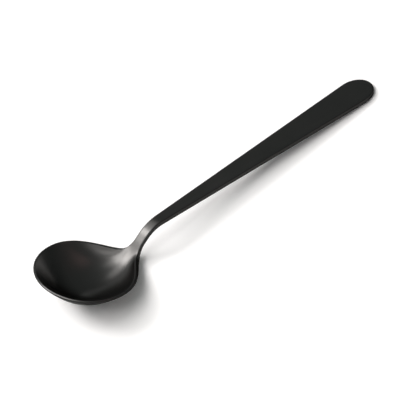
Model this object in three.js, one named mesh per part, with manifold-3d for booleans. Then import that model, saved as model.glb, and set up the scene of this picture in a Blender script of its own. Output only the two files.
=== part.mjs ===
// Cupping spoon for tasting coffee: a deep round bowl, a slender neck that rises out of the bowl
// and bends over, and a flat handle that widens to a rounded end, all of coated steel.
// It lies as on a table, on a small flat under the bowl and on the end of its handle.
// Millimetres: +X from the bowl to the handle's end, +Y across, +Z up, origin at the resting flat.

import * as THREE from 'three';
import { mergeVertices } from 'three/addons/utils/BufferGeometryUtils.js';
import Module from 'manifold-3d';

// Bowl, measured at the middle of its wall
const BOWL_WIDTH = 40;
const BOWL_FRONT = 20.2; // widest place to the front of the rim
const BOWL_DEPTH = 12; // floor to rim
const BOWL_WALL = 1;
const BOWL_ROUNDNESS = 1.13; // 1 is a parabola, less gives a flatter floor and steeper walls
const HEEL_ROUNDNESS = 0.3; // the same at the back, where the bowl turns into the neck
const RIM_ROUNDING = 0.8; // radius of the rim's edges as a share of half the wall
const RESTING_FLAT = 0.15; // depth of the flat under the bowl

// Neck, set out from the bowl's widest place and floor
const NECK_START = 28.1;
const NECK_HEIGHT = 13.8;
const NECK_WIDTH = 4.2;
const NECK_ANGLE = THREE.MathUtils.degToRad(50.3); // above the plane of the rim
const NECK_STRAIGHT = 2.3;
const BEND_RADIUS = 13.3;

// Handle
const HANDLE_ANGLE = THREE.MathUtils.degToRad(10.7); // above the plane of the rim
const HANDLE_LENGTH = 117.1; // end of the bend to the tip
const HANDLE_WIDTH = 13.5;
const HANDLE_THICKNESS = 2.2;
const ROUND_END = 9.4; // length of the rounded end
const TAPER_EASE = 7.6; // length in which the neck's parallel sides turn into the taper
const HANDLE_ROUNDING = 0.55; // radius of its edges as a share of half its thickness

// Curves that carry the bowl into the neck
const SHOULDER_REACH = 15; // pull of the outline straight back from the widest place
const THROAT_REACH = 6; // pull of the outline along the neck's sides
const FLOOR_REACH = 19.4; // pull of the keel along the level floor
const HEEL_REACH = 6.7; // pull of the keel down along the neck
const RIM_REACH = 29.8; // pull of the rim straight back at its full height
const RIM_DROP = 9.8; // pull of the rim down along the neck

// Facets
const FRONT_STEPS = 20;
const HEEL_STEPS = 30;
const NECK_STEPS = 10;
const TAPER_STEPS = 4;
const END_STEPS = 10;
const ACROSS_STEPS = 16;
const EDGE_STEPS = 3;

// Fineness of the sums
const HALVING_LIMIT = 1e-9;
const SLOPE_STEP = 1e-4;
const SAME_POINT = 1e-5; // points closer than this are one

const bowlHalf = BOWL_WIDTH / 2;
const neckHalf = NECK_WIDTH / 2;
const handleHalf = HANDLE_WIDTH / 2;

// Side view of the neck's bend and the handle
const neckRise = new THREE.Vector2(Math.cos(NECK_ANGLE), Math.sin(NECK_ANGLE));
const neckFoot = new THREE.Vector2(NECK_START, NECK_HEIGHT);
const bendStart = neckFoot.clone().addScaledVector(neckRise, NECK_STRAIGHT);
const bendCentre = new THREE.Vector2(neckRise.y, -neckRise.x).multiplyScalar(BEND_RADIUS).add(bendStart);
const bendEnd = new THREE.Vector2(-Math.sin(HANDLE_ANGLE), Math.cos(HANDLE_ANGLE))
  .multiplyScalar(BEND_RADIUS)
  .add(bendCentre);
const tip = bendEnd.x + HANDLE_LENGTH * Math.cos(HANDLE_ANGLE);
const endStart = tip - ROUND_END;

// Outline of the bowl's shoulder in plan, and its keel and rim in side view
const shoulder = new THREE.CubicBezierCurve(
  new THREE.Vector2(0, bowlHalf),
  new THREE.Vector2(SHOULDER_REACH, bowlHalf),
  new THREE.Vector2(NECK_START - THROAT_REACH, neckHalf),
  new THREE.Vector2(NECK_START, neckHalf),
);
const heel = new THREE.CubicBezierCurve(
  new THREE.Vector2(0, 0),
  new THREE.Vector2(FLOOR_REACH, 0),
  neckFoot.clone().addScaledVector(neckRise, -HEEL_REACH),
  neckFoot,
);
const rim = new THREE.CubicBezierCurve(
  new THREE.Vector2(0, BOWL_DEPTH),
  new THREE.Vector2(RIM_REACH, BOWL_DEPTH),
  neckFoot.clone().addScaledVector(neckRise, -RIM_DROP),
  neckFoot,
);

// Value between low and high up to which a test holds, found by halving the stretch.
function lastTrue(low, high, test) {
  while (high - low > HALVING_LIMIT) {
    const middle = (low + high) / 2;
    if (test(middle)) low = middle;
    else high = middle;
  }
  return low;
}

// Height of a curve that runs steadily along X.
function curveHeight(curve, x) {
  return curve.getPoint(lastTrue(0, 1, (share) => curve.getPoint(share).x < x)).y;
}

// Half-width of an ellipse, at a share of its half-length from the middle.
function ellipseHalf(half, share) {
  return half * Math.sqrt(Math.max(0, 1 - share ** 2));
}

// Half of the spoon's width in plan.
function halfWidth(x) {
  if (x < 0) return ellipseHalf(bowlHalf, x / BOWL_FRONT);
  if (x < NECK_START) return curveHeight(shoulder, x);
  const taper = (handleHalf - neckHalf) / (endStart - NECK_START - TAPER_EASE / 2);
  const beyond = x - endStart;
  if (beyond > 0) return ellipseHalf(handleHalf + taper * beyond, beyond / ROUND_END);
  const along = x - NECK_START;
  if (along < TAPER_EASE) return neckHalf + (taper * along ** 2) / (2 * TAPER_EASE);
  return neckHalf + taper * (along - TAPER_EASE / 2);
}

// Height of the centre line behind the bowl's widest place.
function keelHeight(x) {
  if (x < NECK_START) return curveHeight(heel, x);
  if (x < bendStart.x) return NECK_HEIGHT + (x - NECK_START) * Math.tan(NECK_ANGLE);
  if (x < bendEnd.x) return bendCentre.y + Math.sqrt(BEND_RADIUS ** 2 - (x - bendCentre.x) ** 2);
  return bendEnd.y + (x - bendEnd.x) * Math.tan(HANDLE_ANGLE);
}

// Height of the edges behind the bowl's widest place: its rim, then the neck's and the handle's sides.
function rimHeight(x) {
  return x < NECK_START ? curveHeight(rim, x) : keelHeight(x);
}

// Rise from the floor to the rim, as a share of the whole, at a share of the way out.
function dish(share, roundness) {
  return roundness * share ** 2 + (1 - roundness) * share ** 4;
}

// Height of the middle of the steel.
function sheetHeight(x, y) {
  if (x < 0) return BOWL_DEPTH * dish(Math.hypot(x / BOWL_FRONT, y / bowlHalf), BOWL_ROUNDNESS);
  const keel = keelHeight(x);
  const roundness = THREE.MathUtils.lerp(BOWL_ROUNDNESS, HEEL_ROUNDNESS, sectionShare(x));
  return keel + (rimHeight(x) - keel) * dish(y / halfWidth(x), roundness);
}

// Share of the way from the bowl's section to the handle's.
function sectionShare(x) {
  return THREE.MathUtils.smoothstep(x, 0, NECK_START);
}

function thickness(x) {
  return THREE.MathUtils.lerp(BOWL_WALL, HANDLE_THICKNESS, sectionShare(x));
}

function edgeRadius(x) {
  const rounding = THREE.MathUtils.lerp(RIM_ROUNDING, HANDLE_ROUNDING, sectionShare(x));
  return (rounding * thickness(x)) / 2;
}

// Rate of change of a function.
function slope(height, at) {
  return (height(at + SLOPE_STEP) - height(at - SLOPE_STEP)) / (2 * SLOPE_STEP);
}

// Direction in plan that points out of an ellipse at a point of its edge.
function ellipseOutward(x, y, halfLength, halfAcross) {
  return new THREE.Vector2(x / halfLength ** 2, y / halfAcross ** 2).normalize();
}

// Direction in plan that points out of the spoon at its edge on the +Y side.
function outward(x) {
  if (x < 0) return ellipseOutward(x, halfWidth(x), BOWL_FRONT, bowlHalf);
  if (x < NECK_START) return new THREE.Vector2(-slope(halfWidth, x), 1).normalize();
  if (x > endStart) return ellipseOutward(x - endStart, halfWidth(x), ROUND_END, handleHalf);
  return new THREE.Vector2(0, 1);
}

// A point of the sheet's middle, with the direction square to the sheet there.
function sheetPoint(x, y) {
  const alongX = slope((value) => sheetHeight(value, y), x);
  const alongY = slope((value) => sheetHeight(x, value), y);
  return {
    middle: new THREE.Vector3(x, y, sheetHeight(x, y)),
    square: new THREE.Vector3(-alongX, -alongY, 1).normalize(),
    gradient: new THREE.Vector2(alongX, alongY),
  };
}

// Rounded edge from the upper face down to the lower face. It starts where the faces end, and
// side is 1 on the +Y edge and -1 on the -Y edge.
function roundedEdge(x, y, out, side, thick, radius) {
  const { middle, square, gradient } = sheetPoint(x, y * side);
  const plan = new THREE.Vector2(out.x, out.y * side);
  const away = new THREE.Vector3(plan.x, plan.y, gradient.dot(plan)).normalize();
  const points = [];
  for (const face of [1, -1]) {
    for (let step = 1; step <= EDGE_STEPS; step++) {
      const share = face > 0 ? step : EDGE_STEPS + 1 - step;
      const angle = (share / EDGE_STEPS) * (Math.PI / 2);
      const rise = face * (thick / 2 - radius + radius * Math.cos(angle));
      points.push(
        middle.clone().addScaledVector(away, radius * Math.sin(angle)).addScaledVector(square, rise),
      );
    }
  }
  return points;
}

// Closed loop round the spoon at one station: upper face, +Y edge, lower face, -Y edge.
function sectionLoop(x) {
  const thick = thickness(x);
  const radius = edgeRadius(x);
  const out = outward(x);
  const faceX = x - radius * out.x;
  const faceHalf = halfWidth(x) - radius * out.y;
  const upper = [];
  const lower = [];
  for (let step = 0; step <= ACROSS_STEPS; step++) {
    const { middle, square } = sheetPoint(faceX, faceHalf * ((2 * step) / ACROSS_STEPS - 1));
    upper.push(middle.clone().addScaledVector(square, thick / 2));
    lower.push(middle.clone().addScaledVector(square, -thick / 2));
  }
  const leftEdge = roundedEdge(faceX, faceHalf, out, 1, thick, radius);
  const rightEdge = roundedEdge(faceX, faceHalf, out, -1, thick, radius);
  return [...upper, ...leftEdge, ...lower.reverse(), ...rightEdge.reverse()];
}

// Closed body lofted through loops. Triangles that shrink to a line at a rounded end are left out.
function loft(loops, flatStart, flatEnd) {
  const positions = [];
  const index = [];
  const known = new Map();
  const vertex = (point) => {
    const key = point.toArray().map((value) => Math.round(value / SAME_POINT)).join();
    if (!known.has(key)) {
      known.set(key, positions.length / 3);
      positions.push(...point.toArray());
    }
    return known.get(key);
  };
  const triangle = (...points) => {
    const corners = points.map(vertex);
    if (new Set(corners).size === 3) index.push(...corners);
  };
  const around = loops[0].length;
  for (let station = 1; station < loops.length; station++) {
    const before = loops[station - 1];
    const after = loops[station];
    for (let i = 0; i < around; i++) {
      const next = (i + 1) % around;
      triangle(before[i], after[i], after[next]);
      triangle(before[i], after[next], before[next]);
    }
  }
  const flat = (loop, turn) => {
    const centre = loop.reduce((sum, point) => sum.add(point), new THREE.Vector3()).divideScalar(around);
    for (let i = 0; i < around; i++) {
      const next = (i + 1) % around;
      if (turn > 0) triangle(centre, loop[next], loop[i]);
      else triangle(centre, loop[i], loop[next]);
    }
  };
  if (flatStart) flat(loops[0], -1);
  if (flatEnd) flat(loops[loops.length - 1], 1);
  const geometry = new THREE.BufferGeometry();
  geometry.setAttribute('position', new THREE.Float32BufferAttribute(positions, 3));
  geometry.setIndex(index);
  return geometry;
}

// Values of a function at equal shares from 0 to 1.
function spread(steps, at) {
  return Array.from({ length: steps + 1 }, (_, step) => at(step / steps));
}

const bowlStations = [
  ...spread(FRONT_STEPS, (share) => -BOWL_FRONT * Math.cos((share * Math.PI) / 2)).slice(0, -1),
  ...spread(HEEL_STEPS, (share) => NECK_START * share),
];
const neckStations = spread(NECK_STEPS, (share) => THREE.MathUtils.lerp(NECK_START, bendEnd.x, share));
const handleStations = [
  ...spread(TAPER_STEPS, (share) => THREE.MathUtils.lerp(bendEnd.x, endStart, share)).slice(0, -1),
  ...spread(END_STEPS, (share) => endStart + ROUND_END * Math.sin((share * Math.PI) / 2)),
];
const bowlLoops = bowlStations.map(sectionLoop);
const neckLoops = neckStations.map(sectionLoop);
const handleLoops = handleStations.map(sectionLoop);

// Lowest point of some loops once the spoon leans back by an angle, handle down.
function lowestPoint(loops, lean) {
  const turn = new THREE.Euler(0, lean, 0);
  const points = loops.flat().map((point) => point.clone().applyEuler(turn));
  return points.reduce((low, point) => (point.z < low.z ? point : low));
}

// Lean at which the flat under the bowl and the end of the handle touch the same table.
function restingLean() {
  return lastTrue(0, Math.PI / 2, (lean) => {
    const table = lowestPoint(bowlLoops, lean).z + RESTING_FLAT;
    return lowestPoint(handleLoops, lean).z > table;
  });
}

const spoon = new THREE.Group();
spoon.rotation.y = restingLean();
const restPoint = lowestPoint(bowlLoops, spoon.rotation.y);
spoon.position.set(-restPoint.x, 0, -restPoint.z - RESTING_FLAT);
spoon.updateMatrix();

const wasm = await Module();
wasm.setup();

function asSolid(geometry) {
  const bare = new THREE.BufferGeometry();
  bare.setAttribute('position', geometry.getAttribute('position'));
  bare.setIndex(geometry.getIndex());
  const merged = mergeVertices(bare);
  return new wasm.Manifold(
    new wasm.Mesh({
      numProp: 3,
      vertProperties: merged.getAttribute('position').array,
      triVerts: new Uint32Array(merged.getIndex().array),
    }),
  );
}

function asGeometry(solid) {
  const mesh = solid.getMesh();
  const geometry = new THREE.BufferGeometry();
  geometry.setAttribute('position', new THREE.BufferAttribute(mesh.vertProperties, 3));
  geometry.setIndex(new THREE.BufferAttribute(mesh.triVerts, 1));
  return geometry;
}

// The bowl, cut flat where it meets the table.
function makeBowl() {
  const block = 2 * BOWL_WIDTH;
  const underTable = new THREE.BoxGeometry(block, block, block)
    .translate(0, 0, -block / 2)
    .applyMatrix4(spoon.matrix.clone().invert());
  return asGeometry(asSolid(loft(bowlLoops, false, true)).subtract(asSolid(underTable)));
}

function blackSteel() {
  return new THREE.MeshStandardMaterial({ color: '#373736', roughness: 0.38, metalness: 0.85 });
}

function addPiece(name, geometry) {
  const piece = new THREE.Mesh(geometry, blackSteel());
  piece.name = name;
  spoon.add(piece);
}

addPiece('bowl', makeBowl());
addPiece('neck', loft(neckLoops, true, true));
addPiece('handle', loft(handleLoops, true, false));

export default spoon;
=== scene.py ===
"""Cupping spoon in satin black steel, lying on a white floor.

The bowl, the neck and the handle are lofted from the part's own formulas, with fine steps. Each keeps the
normals of the whole skin, so that no seam shows where two of them meet.
"""

from collections import namedtuple

import bpy
import numpy as np
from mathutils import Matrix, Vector


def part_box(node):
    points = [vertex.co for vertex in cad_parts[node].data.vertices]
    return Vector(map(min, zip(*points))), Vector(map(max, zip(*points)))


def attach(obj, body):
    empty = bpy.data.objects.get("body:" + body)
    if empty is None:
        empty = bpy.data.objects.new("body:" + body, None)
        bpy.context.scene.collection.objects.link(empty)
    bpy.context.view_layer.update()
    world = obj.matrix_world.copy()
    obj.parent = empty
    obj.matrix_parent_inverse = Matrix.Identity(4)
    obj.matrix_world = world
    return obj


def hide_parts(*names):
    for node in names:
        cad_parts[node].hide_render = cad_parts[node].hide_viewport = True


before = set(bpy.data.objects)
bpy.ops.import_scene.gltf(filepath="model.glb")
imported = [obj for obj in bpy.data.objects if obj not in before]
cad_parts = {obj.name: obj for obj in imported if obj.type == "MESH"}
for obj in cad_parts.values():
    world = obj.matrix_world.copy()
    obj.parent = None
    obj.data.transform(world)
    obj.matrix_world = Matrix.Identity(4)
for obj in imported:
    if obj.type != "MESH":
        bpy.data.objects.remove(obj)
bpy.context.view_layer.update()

# Bowl, in millimetres, measured at the middle of its wall
BOWL_WIDTH = 40
BOWL_FRONT = 20.2  # widest place to the front of the rim
BOWL_DEPTH = 12  # floor to rim
BOWL_WALL = 1
BOWL_ROUNDNESS = 1.13  # 1 is a parabola, less gives a flatter floor and steeper walls
HEEL_ROUNDNESS = 0.3  # the same at the back, where the bowl turns into the neck
RIM_ROUNDING = 0.8  # radius of the rim's edges as a share of half the wall
RESTING_FLAT = 0.15  # depth of the flat under the bowl

# Neck, in millimetres, set out from the bowl's widest place and floor
NECK_START = 28.1
NECK_HEIGHT = 13.8
NECK_WIDTH = 4.2
NECK_ANGLE = np.radians(50.3)  # above the plane of the rim
NECK_STRAIGHT = 2.3
BEND_RADIUS = 13.3

# Handle, in millimetres
HANDLE_ANGLE = np.radians(10.7)  # above the plane of the rim
HANDLE_LENGTH = 117.1  # end of the bend to the tip
HANDLE_WIDTH = 13.5
HANDLE_THICKNESS = 2.2
ROUND_END = 9.4  # length of the rounded end
TAPER_EASE = 7.6  # length in which the neck's parallel sides turn into the taper
HANDLE_ROUNDING = 0.55  # radius of its edges as a share of half its thickness

# Curves that carry the bowl into the neck, in millimetres
SHOULDER_REACH = 15  # pull of the outline straight back from the widest place
THROAT_REACH = 6  # pull of the outline along the neck's sides
FLOOR_REACH = 19.4  # pull of the keel along the level floor
HEEL_REACH = 6.7  # pull of the keel down along the neck
RIM_REACH = 29.8  # pull of the rim straight back at its full height
RIM_DROP = 9.8  # pull of the rim down along the neck

# Fineness of the skin, with lengths in millimetres
FRONT_STEPS = 48
HEEL_STEPS = 72
NECK_STEPS = 36
HANDLE_STEPS = 48
END_STEPS = 28
ACROSS_STEPS = 28
EDGE_STEPS = 6
HALVINGS = 45  # rounds of each search by halving
SLOPE_STEP = 1e-4  # to either side of a place, for the slope there
SAME_POINT = 1e-6  # points closer than this are one
MM = 0.001  # in metres

# Steel, with lengths in metres
# Tones of the steel: the lighter tone on the upper faces and the bowl's rim is a painted highlight, varied
# at random by the clouds; the darker tone on the sides and underside is painted shade
PAINTED_SHEEN_DARK = (0.088, 0.089, 0.087, 1)
PAINTED_SHEEN_LIGHT = (0.104, 0.1, 0.098, 1)
PAINTED_SHADE_TONE = (0.039, 0.039, 0.038, 1)
GRAZING_TINT = (0.25, 0.25, 0.25, 1)  # keeps the steel black at a grazing angle
CLOUD_SCALE = 55  # per metre
CLOUD_DETAIL = 3
CLOUD_ROUGHNESS = (0.29, 0.35)  # least and most
GRAIN_SCALE = 4200  # per metre
GRAIN_DETAIL = 2
GRAIN_ROUGHNESS = (-0.03, 0.03)  # added to that of the clouds
GRAIN_DEPTH = 0.00002
GRAIN_STRENGTH = 0.12

# Floor, in metres
FLOOR_HALF = 4.0
FLOOR_DROP = 0.00002  # under the spoon, so that no two faces coincide
FLOOR_TONE = (0.8, 0.8, 0.8, 1)
FLOOR_TONE_SEEN = (1.06, 1.06, 1.06, 1)  # by the camera and in the steel

# Camera, in metres
CAMERA_AIM = Vector((0.05002, 0.00027, 0.006))
CAMERA_DISTANCE = 1.0522
CAMERA_ELEVATION = np.radians(46.07)
CAMERA_TURN = np.radians(36.95)
CAMERA_ROLL = np.radians(-8.18)
CAMERA_LENS = 238.7  # millimetres

# Lamps and sky, in metres
LAMP_AIM = Vector((0.015, 0, 0.005))
LAMP_DISTANCE = 2.0
WARM = (1, 0.97, 0.96)
COOL = (0.97, 1, 0.99)
PINK = (1, 0.6, 0.58)
SKY = (0.9, 1, 0.97, 1)

# Last line of the skin on each piece
bowl_last = FRONT_STEPS + HEEL_STEPS
neck_last = bowl_last + NECK_STEPS
handle_last = neck_last + HANDLE_STEPS + END_STEPS

# Half-widths, the bend in side view, and the handle's taper
bowl_half = BOWL_WIDTH / 2
neck_half = NECK_WIDTH / 2
handle_half = HANDLE_WIDTH / 2
neck_rise = np.array([np.cos(NECK_ANGLE), np.sin(NECK_ANGLE)])
neck_foot = np.array([NECK_START, NECK_HEIGHT])
bend_start = neck_foot + NECK_STRAIGHT * neck_rise
bend_centre = bend_start + BEND_RADIUS * np.array([neck_rise[1], -neck_rise[0]])
bend_end = bend_centre + BEND_RADIUS * np.array([-np.sin(HANDLE_ANGLE), np.cos(HANDLE_ANGLE)])
end_start = bend_end[0] + HANDLE_LENGTH * np.cos(HANDLE_ANGLE) - ROUND_END
taper = (handle_half - neck_half) / (end_start - NECK_START - TAPER_EASE / 2)

# Outline of the bowl's shoulder in plan, and its keel and rim in side view
shoulder = np.array(
    [
        [0, bowl_half],
        [SHOULDER_REACH, bowl_half],
        [NECK_START - THROAT_REACH, neck_half],
        [NECK_START, neck_half],
    ]
)
heel = np.array([[0, 0], [FLOOR_REACH, 0], neck_foot - HEEL_REACH * neck_rise, neck_foot])
rim = np.array([[0, BOWL_DEPTH], [RIM_REACH, BOWL_DEPTH], neck_foot - RIM_DROP * neck_rise, neck_foot])

# The skin's points, with the number of the point at each place of each line of each half
Skin = namedtuple("Skin", "points normals polish number")


def smoothstep(share):
    share = np.clip(share, 0, 1)
    return share**2 * (3 - 2 * share)


def mixed(bowl_value, handle_value, x):
    """A value that changes from the bowl's to the handle's on the way to the neck."""
    return bowl_value + (handle_value - bowl_value) * smoothstep(x / NECK_START)


def bezier(points, share):
    """Points of a cubic curve at shares from 0 to 1 of its run."""
    share = share[..., None]
    rest = 1 - share
    weights = [rest**3, 3 * share * rest**2, 3 * share**2 * rest, share**3]
    return sum(weight * point for weight, point in zip(weights, points))


def curve_height(points, x):
    """Height of a cubic curve that runs steadily along X, found by halving."""
    low = np.zeros_like(x)
    high = np.ones_like(x)
    for _ in range(HALVINGS):
        middle = (low + high) / 2
        before = bezier(points, middle)[..., 0] < x
        low = np.where(before, middle, low)
        high = np.where(before, high, middle)
    return bezier(points, low)[..., 1]


def ellipse_half(half, share):
    """Half-width of an ellipse, at a share of its half-length from the middle."""
    return half * np.sqrt(np.maximum(0, 1 - share**2))


def half_width(x):
    """Half of the spoon's width in plan."""
    along = x - NECK_START
    beyond = x - end_start
    eased = np.where(along < TAPER_EASE, along**2 / (2 * TAPER_EASE), along - TAPER_EASE / 2)
    return np.select(
        [x < 0, x < NECK_START, x > end_start],
        [
            ellipse_half(bowl_half, x / BOWL_FRONT),
            curve_height(shoulder, x),
            ellipse_half(handle_half + taper * beyond, beyond / ROUND_END),
        ],
        neck_half + taper * eased,
    )


def keel_height(x):
    """Height of the centre line behind the bowl's widest place."""
    arc = np.sqrt(np.maximum(0, BEND_RADIUS**2 - (x - bend_centre[0]) ** 2))
    return np.select(
        [x < NECK_START, x < bend_start[0], x < bend_end[0]],
        [curve_height(heel, x), NECK_HEIGHT + (x - NECK_START) * np.tan(NECK_ANGLE), bend_centre[1] + arc],
        bend_end[1] + (x - bend_end[0]) * np.tan(HANDLE_ANGLE),
    )


def rim_height(x):
    """Height of the edges behind the bowl's widest place: the rim, then the sides of neck and handle."""
    return np.where(x < NECK_START, curve_height(rim, x), keel_height(x))


def dish(share, roundness):
    """Rise from the floor to the rim, as a share of the whole, at a share of the way out."""
    return roundness * share**2 + (1 - roundness) * share**4


def sheet_height(x, y):
    """Height of the middle of the steel."""
    front = BOWL_DEPTH * dish(np.hypot(x / BOWL_FRONT, y / bowl_half), BOWL_ROUNDNESS)
    keel = keel_height(x)
    share = y / np.maximum(half_width(x), SAME_POINT)
    roundness = mixed(BOWL_ROUNDNESS, HEEL_ROUNDNESS, x)
    return np.where(x < 0, front, keel + (rim_height(x) - keel) * dish(share, roundness))


def sheet_slopes(x, y):
    """Slopes of the middle of the steel, along X and along Y."""
    step = SLOPE_STEP
    along_x = (sheet_height(x + step, y) - sheet_height(x - step, y)) / (2 * step)
    along_y = (sheet_height(x, y + step) - sheet_height(x, y - step)) / (2 * step)
    return along_x, along_y


def thickness(x):
    """Thickness of the steel, from the bowl's wall to the handle."""
    return mixed(BOWL_WALL, HANDLE_THICKNESS, x)


def unit(vectors):
    return vectors / np.linalg.norm(vectors, axis=-1, keepdims=True)


def line_places():
    """Places along X of the lines, from the front of the bowl to the tip of the handle."""
    quarter = np.pi / 2
    return np.concatenate(
        [
            -BOWL_FRONT * np.cos(np.linspace(0, quarter, FRONT_STEPS, endpoint=False)),
            np.linspace(0, NECK_START, HEEL_STEPS, endpoint=False),
            np.linspace(NECK_START, bend_end[0], NECK_STEPS, endpoint=False),
            np.linspace(bend_end[0], end_start, HANDLE_STEPS, endpoint=False),
            end_start + ROUND_END * np.sin(np.linspace(0, quarter, END_STEPS + 1)),
        ]
    )


def edge_lines(x):
    """For each line: the end of its flat part in plan, the way out there, its edge radius and its start."""
    y = half_width(x)
    slope = (half_width(x + SLOPE_STEP) - half_width(x - SLOPE_STEP)) / (2 * SLOPE_STEP)
    in_front = x < 0
    in_heel = (x >= 0) & (x < NECK_START)
    in_end = x >= end_start
    out_x = np.select(
        [in_front, in_heel, in_end],
        [x / BOWL_FRONT**2, -slope, (x - end_start) / ROUND_END**2],
        0,
    )
    out_y = np.select([in_front, in_end], [y / bowl_half**2, y / handle_half**2], 1)
    out = unit(np.stack([out_x, out_y], -1))
    radius = mixed(RIM_ROUNDING, HANDLE_ROUNDING, x) * thickness(x) / 2
    inset = np.stack([x, y], -1) - radius[:, None] * out
    start_x = np.select([in_front, in_end], [0, end_start], inset[:, 0])
    return inset, out, radius, start_x


def half_skin():
    """Points of the +Y half: each line runs over the upper face, round the edge and back under."""
    x = line_places()
    inset, out, radius, start_x = edge_lines(x)
    share = np.linspace(0, 1, ACROSS_STEPS + 1)
    plan_x = start_x[:, None] + (inset[:, :1] - start_x[:, None]) * share
    plan_y = inset[:, 1:] * share
    along_x, along_y = sheet_slopes(plan_x, plan_y)
    middle = np.stack([plan_x, plan_y, sheet_height(plan_x, plan_y)], -1)
    square = unit(np.stack([-along_x, -along_y, np.ones_like(along_x)], -1))
    half_thick = thickness(x)[:, None, None] / 2
    upper = middle + square * half_thick
    lower = middle - square * half_thick

    rise_out = along_x[:, -1] * out[:, 0] + along_y[:, -1] * out[:, 1]
    away = unit(np.stack([out[:, 0], out[:, 1], rise_out], -1))[:, None]
    angle = np.linspace(0, np.pi / 2, EDGE_STEPS + 1)[1:]
    reach = radius[:, None, None] * np.sin(angle)[:, None]
    rise = half_thick - radius[:, None, None] * (1 - np.cos(angle)[:, None])
    edge = middle[:, -1:] + away * reach
    upper_edge = edge + square[:, -1:] * rise
    lower_edge = edge - square[:, -1:] * rise
    return np.concatenate([upper, upper_edge, lower_edge[:, ::-1], lower[:, ::-1]], axis=1)


def half_painted_sheen():
    """Painted sheen of the +Y half's points, a painted highlight: full on the upper face and the bowl's rim,
    fading over other edges, and zero on the sides and underside, which keep the darker tone as painted
    shade.
    """
    x = line_places()
    polish = np.zeros((len(x), 2 * (ACROSS_STEPS + 1 + EDGE_STEPS)))
    polish[:, :ACROSS_STEPS] = 1
    fade = np.linspace(1, 0, EDGE_STEPS + 1)
    polish[:, ACROSS_STEPS : ACROSS_STEPS + EDGE_STEPS + 1] = mixed(1, fade, x[:, None])
    return polish


def leaned(points, lean):
    """Points turned about the Y axis, handle down."""
    x = points[..., 0] * np.cos(lean) + points[..., 2] * np.sin(lean)
    z = points[..., 2] * np.cos(lean) - points[..., 0] * np.sin(lean)
    return np.stack([x, points[..., 1], z], -1)


def resting(points):
    """Points of the spoon lying on the table, with the bowl's underside flat where it touches."""
    low, high = 0.0, np.pi / 2
    for _ in range(HALVINGS):
        lean = (low + high) / 2
        height = leaned(points, lean)[..., 2]
        handle_clear = height[bowl_last + 1 :].min() > height[: bowl_last + 1].min() + RESTING_FLAT
        low, high = (lean, high) if handle_clear else (low, lean)
    lying = leaned(points, low)
    table = lying[: bowl_last + 1, :, 2].min() + RESTING_FLAT
    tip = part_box("handle")[1].x / MM
    lying -= [lying[..., 0].max() - tip, 0, table]
    lying[..., 2] = np.maximum(lying[..., 2], 0)
    return lying


def without_repeats(corners):
    """Corners without those that repeat the one before."""
    return [c for i, c in enumerate(corners) if c != corners[i - 1]]


def strip_faces(number, lines):
    """Faces between each line and the next, on both halves.

    Those of the mirrored half run the other way round, so that all of them look out.
    """
    faces = []
    for i in lines:
        for k in range(number.shape[2] - 1):
            for half, way in zip(number, (1, -1)):
                around = [half[i, k], half[i + 1, k], half[i + 1, k + 1], half[i, k + 1]]
                corners = without_repeats(around[::way])
                if len(corners) > 2:
                    faces.append(corners)
    return faces


def ring(number, line):
    """Numbers of a line's points, once round the spoon."""
    return without_repeats([*number[0, line], *number[1, line][::-1]])


def make_skin():
    """The whole skin, in metres, with normals that run smoothly through its pieces."""
    half = resting(half_skin())
    both = np.stack([half, half * [1, -1, 1]])
    grid = np.round(both.reshape(-1, 3) / SAME_POINT).astype(np.int64)
    _, first, number = np.unique(grid, axis=0, return_index=True, return_inverse=True)
    number = number.reshape(both.shape[:-1])
    points = both.reshape(-1, 3)[first] * MM
    whole = bpy.data.meshes.new("whole")
    whole.from_pydata(points.tolist(), [], strip_faces(number, range(handle_last)))
    normals = np.array([v.vector for v in whole.vertex_normals])
    bpy.data.meshes.remove(whole)
    # Where this share is 1 the steel is painted lighter as a highlight, where it is 0 darker as shade
    polish = np.zeros(len(points))
    polish[number] = half_painted_sheen()
    return Skin(points, normals, polish, number)


def make_piece(name, node, first, last, skin, material):
    """One closed piece of the skin between two lines, with a flat face where it meets its neighbour."""
    faces = strip_faces(skin.number, range(first, last))
    skin_corners = sum(len(face) for face in faces)
    if first > 0:
        faces.append(ring(skin.number, first))
    if last < handle_last:
        faces.append(ring(skin.number, last)[::-1])
    used, corners = np.unique(np.concatenate(faces), return_inverse=True)
    ends = np.cumsum([len(face) for face in faces])
    mesh = bpy.data.meshes.new(name)
    mesh.from_pydata(skin.points[used].tolist(), [], [list(c) for c in np.split(corners, ends[:-1])])
    mesh.shade_smooth()
    # A zero leaves a flat face its own normal
    corner_normals = skin.normals[used][corners]
    corner_normals[skin_corners:] = 0
    mesh.normals_split_custom_set(corner_normals.tolist())
    # Share of painted highlight at each point, read by the steel's material
    mesh.attributes.new("polish", "FLOAT", "POINT").data.foreach_set("value", skin.polish[used])
    mesh.materials.append(material)
    piece = bpy.data.objects.new(name, mesh)
    bpy.context.scene.collection.objects.link(piece)
    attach(piece, "root")
    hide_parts(node)


def new_material(name):
    """A material with nodes, its node tree and its shader."""
    material = bpy.data.materials.new(name)
    material.use_nodes = True
    tree = material.node_tree
    return material, tree, tree.nodes["Principled BSDF"]


def noise(tree, place, scale, detail):
    """Cloudy noise from 0 to 1."""
    texture = tree.nodes.new("ShaderNodeTexNoise")
    texture.inputs["Scale"].default_value = scale
    texture.inputs["Detail"].default_value = detail
    tree.links.new(place, texture.inputs["Vector"])
    return texture.outputs["Fac"]


def mapped(tree, value, low, high):
    """A value from 0 to 1 spread between low and high."""
    spread = tree.nodes.new("ShaderNodeMapRange")
    spread.inputs["To Min"].default_value = low
    spread.inputs["To Max"].default_value = high
    tree.links.new(value, spread.inputs["Value"])
    return spread.outputs["Result"]


def calculated(tree, operation, first, second):
    """A sum or another result of two values."""
    node = tree.nodes.new("ShaderNodeMath")
    node.operation = operation
    tree.links.new(first, node.inputs[0])
    tree.links.new(second, node.inputs[1])
    return node.outputs["Value"]


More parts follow.
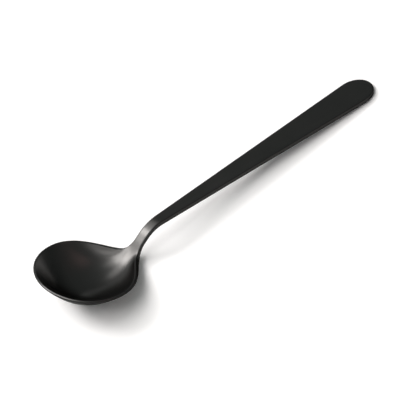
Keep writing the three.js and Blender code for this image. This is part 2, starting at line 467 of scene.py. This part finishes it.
def blended(tree, share, first, second):
    """A colour that goes from the first to the second. The second is a colour or a socket."""
    node = tree.nodes.new("ShaderNodeMix")
    node.data_type = "RGBA"
    tree.links.new(share, node.inputs["Factor"])
    node.inputs["A"].default_value = first
    if isinstance(second, bpy.types.NodeSocket):
        tree.links.new(second, node.inputs["B"])
    else:
        node.inputs["B"].default_value = second
    return node.outputs["Result"]


def black_steel():
    """Satin black coating on steel: fine grain, cloudy tone, a painted highlight of lighter tone on the
    upper faces and rim, and painted shade of darker tone on the sides and underside.
    """
    material, tree, shader = new_material("black_steel")
    place = tree.nodes.new("ShaderNodeTexCoord").outputs["Object"]
    grain = noise(tree, place, GRAIN_SCALE, GRAIN_DETAIL)
    clouds = noise(tree, place, CLOUD_SCALE, CLOUD_DETAIL)
    polish = tree.nodes.new("ShaderNodeAttribute")
    polish.attribute_name = "polish"

    # Painted highlight and shade: upper faces and rim take the lighter, cloudy tone, sides and underside the
    # darker one
    sheen_tone = blended(tree, clouds, PAINTED_SHEEN_DARK, PAINTED_SHEEN_LIGHT)
    tone = blended(tree, polish.outputs["Fac"], PAINTED_SHADE_TONE, sheen_tone)
    tree.links.new(tone, shader.inputs["Base Color"])

    cloud_roughness = mapped(tree, clouds, *CLOUD_ROUGHNESS)
    grain_roughness = mapped(tree, grain, *GRAIN_ROUGHNESS)
    roughness = calculated(tree, "ADD", cloud_roughness, grain_roughness)
    tree.links.new(roughness, shader.inputs["Roughness"])

    bump = tree.nodes.new("ShaderNodeBump")
    bump.inputs["Strength"].default_value = GRAIN_STRENGTH
    bump.inputs["Distance"].default_value = GRAIN_DEPTH
    tree.links.new(grain, bump.inputs["Height"])
    tree.links.new(bump.outputs["Normal"], shader.inputs["Normal"])
    shader.inputs["Metallic"].default_value = 1
    shader.inputs["Specular Tint"].default_value = GRAZING_TINT
    return material


def white_floor():
    """A matt floor that the camera and the steel see as white, with the shadow kept."""
    material, tree, shader = new_material("white_floor")
    path = tree.nodes.new("ShaderNodeLightPath")
    seen = path.outputs["Is Camera Ray"]
    for ray in ("Is Glossy Ray", "Is Transmission Ray"):
        seen = calculated(tree, "MAXIMUM", seen, path.outputs[ray])
    tree.links.new(blended(tree, seen, FLOOR_TONE, FLOOR_TONE_SEEN), shader.inputs["Base Color"])
    shader.inputs["Roughness"].default_value = 1
    shader.inputs["Specular IOR Level"].default_value = 0
    return material


def add_floor():
    mesh = bpy.data.meshes.new("floor")
    signs = ((-1, -1), (1, -1), (1, 1), (-1, 1))
    corners = [(x * FLOOR_HALF, y * FLOOR_HALF, -FLOOR_DROP) for x, y in signs]
    mesh.from_pydata(corners, [], [(0, 1, 2, 3)])
    mesh.materials.append(white_floor())
    floor = bpy.data.objects.new("floor", mesh)
    bpy.context.scene.collection.objects.link(floor)


def direction(turn, elevation):
    """Unit vector at a turn from +Y towards +X and an elevation above the floor."""
    level = np.cos(elevation)
    return Vector((np.sin(turn) * level, np.cos(turn) * level, np.sin(elevation)))


def aim(thing, way):
    thing.rotation_euler = way.to_track_quat("-Z", "Y").to_euler()


def add_lamp(name, turn, elevation, roll, width, height, power, colour):
    """A soft rectangular lamp that shines on the bowl's heel, with its angles in degrees."""
    way = direction(np.radians(turn), np.radians(elevation))
    light = bpy.data.lights.new(name, "AREA")
    light.shape = "RECTANGLE"
    light.size = width
    light.size_y = height
    light.energy = power
    light.color = colour
    lamp = bpy.data.objects.new(name, light)
    lamp.location = LAMP_AIM + way * LAMP_DISTANCE
    aim(lamp, -way)
    lamp.rotation_euler.rotate_axis("Z", np.radians(roll))
    bpy.context.scene.collection.objects.link(lamp)


def add_lamps():
    """A strip for the heel, a panel for the neck, and dimmer cards that fill in round them."""
    add_lamp("high_strip", turn=-86, elevation=63, roll=-18, width=1.7, height=0.75, power=27.5, colour=WARM)
    add_lamp("side_panel", turn=-36, elevation=47, roll=-20, width=0.7, height=0.65, power=16.5, colour=WARM)
    add_lamp("front_card", turn=-135, elevation=36, roll=0, width=1.0, height=0.6, power=5.0, colour=WARM)
    add_lamp("bend_card", turn=2, elevation=54, roll=0, width=0.9, height=0.7, power=3.4, colour=WARM)
    add_lamp("top_card", turn=-106, elevation=82, roll=0, width=0.6, height=0.6, power=1.2, colour=WARM)
    add_lamp("far_card", turn=15, elevation=17, roll=0, width=2.8, height=0.9, power=5.5, colour=COOL)
    add_lamp("near_card", turn=147, elevation=47, roll=0, width=0.7, height=0.5, power=0.55, colour=PINK)


def add_world(horizon, zenith):
    """A cool pale sky, dim at the horizon and brighter overhead."""
    world = bpy.data.worlds.new("studio")
    world.use_nodes = True
    tree = world.node_tree
    background = tree.nodes["Background"]
    background.inputs["Color"].default_value = SKY
    way = tree.nodes.new("ShaderNodeTexCoord").outputs["Generated"]
    parts = tree.nodes.new("ShaderNodeSeparateXYZ")
    tree.links.new(way, parts.inputs["Vector"])
    tree.links.new(mapped(tree, parts.outputs["Z"], horizon, zenith), background.inputs["Strength"])
    bpy.context.scene.world = world


def add_camera():
    look = direction(CAMERA_TURN, -CAMERA_ELEVATION)
    lens = bpy.data.cameras.new("camera")
    lens.lens = CAMERA_LENS
    camera = bpy.data.objects.new("camera", lens)
    camera.location = CAMERA_AIM - look * CAMERA_DISTANCE
    aim(camera, look)
    camera.rotation_euler.rotate_axis("Z", CAMERA_ROLL)
    bpy.context.scene.collection.objects.link(camera)
    bpy.context.scene.camera = camera


steel = black_steel()
skin = make_skin()
make_piece("bowl_steel", "bowl", 0, bowl_last, skin, steel)
make_piece("neck_steel", "neck", bowl_last, neck_last, skin, steel)
make_piece("handle_steel", "handle", neck_last, handle_last, skin, steel)

add_floor()
add_world(horizon=0.05, zenith=0.2)
add_lamps()
add_camera()
bpy.context.scene.view_settings.view_transform = "Standard"
